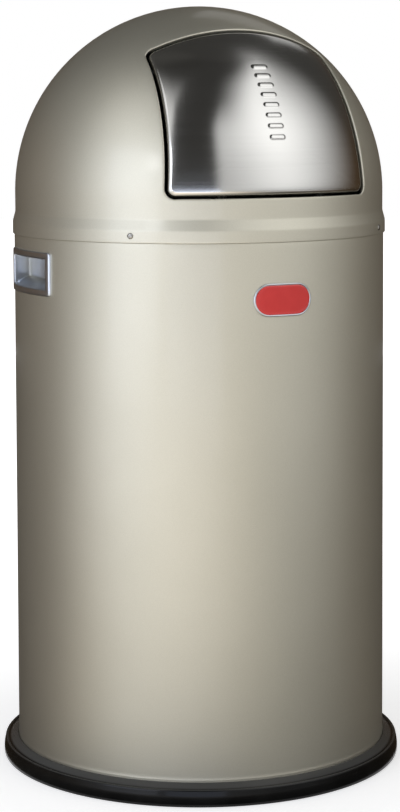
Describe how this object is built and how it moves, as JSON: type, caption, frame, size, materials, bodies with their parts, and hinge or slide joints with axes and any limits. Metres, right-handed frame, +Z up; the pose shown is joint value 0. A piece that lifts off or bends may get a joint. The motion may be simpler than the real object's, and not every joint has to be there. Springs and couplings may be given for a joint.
{
  "type": "trash can",
  "caption": "Round floor-standing waste bin with a domed lift-off lid, a sprung push flap, recessed side grips, a rubber base ring and a bail-handled inner pail.",
  "frame": {"origin": "centre of the base ring's underside, on the floor", "axes": "+Z up, -Y towards the front where the flap faces, +X to the right as seen from behind the flap looking along +Y, recessed grips at -X and +X"},
  "size_m": [0.3999, 0.4, 0.751],
  "materials": {
    "champagne_paint": "satin metallic coat, light champagne silver",
    "brushed_stainless": "brushed",
    "satin_chrome": "satin plated",
    "red_enamel": "gloss enamel",
    "black_rubber": "semi-gloss moulded",
    "galvanised_steel": "zinc coated",
    "bright_steel": "drawn",
    "zinc_fastener": "zinc plated",
    "dark_spring_steel": "oiled",
    "black_plastic": "fine grained"
  },
  "bodies": {
    "base": {"base_ring": "black_rubber", "floor_pan": "galvanised_steel", "body_shell": "champagne_paint", "grip_left": "satin_chrome", "grip_right": "satin_chrome", "grip_retainer_left": "galvanised_steel", "grip_retainer_right": "galvanised_steel", "nameplate": "satin_chrome", "nameplate_enamel": "red_enamel", "nameplate_fasteners": "zinc_fastener"},
    "lid": {"lid_dome": "champagne_paint", "lid_tabs": "galvanised_steel", "lid_screws": "zinc_fastener", "lid_screw_nuts": "zinc_fastener", "hinge_bracket_left": "galvanised_steel", "hinge_bracket_right": "galvanised_steel", "hinge_rod": "bright_steel", "rod_retainers": "dark_spring_steel", "spring_left": "dark_spring_steel", "spring_right": "dark_spring_steel"},
    "flap": {"flap_panel": "brushed_stainless", "flap_arm_left": "bright_steel", "flap_arm_right": "bright_steel", "hinge_tube": "bright_steel", "flap_stop_brackets": "bright_steel", "flap_buffers": "black_rubber"},
    "pail": {"pail_shell": "galvanised_steel", "pail_bottom": "galvanised_steel", "pail_ear_left": "galvanised_steel", "pail_ear_right": "galvanised_steel", "pail_ear_rivets": "zinc_fastener"},
    "bail": {"pail_bail": "bright_steel", "pail_bail_grip": "black_plastic"}
  },
  "joints": [
    {"name": "lid_lift", "type": "slide", "parent": "base", "child": "lid", "axis": [0, 0, 1], "range_m": [0, 0.65]},
    {"name": "flap_swing", "type": "hinge", "parent": "lid", "child": "flap", "pos_m": [0, -0.07625, 0.68441], "axis": [1, 0, 0], "range_deg": [0, 65], "stiffness_Nm_per_rad": 0.45, "springref_deg": -51.57, "deforming": ["spring_left", "spring_right"]},
    {"name": "pail_lift", "type": "slide", "parent": "base", "child": "pail", "axis": [0, 0, 1], "range_m": [0, 0.52]},
    {"name": "bail_swing", "type": "hinge", "parent": "pail", "child": "bail", "pos_m": [0, 0, 0.4803], "axis": [1, 0, 0], "range_deg": [0, 180]}
  ],
  "couplings": [
    {"joint": "pail_lift", "follows": "lid_lift", "ratio": 0.8}
  ]
}
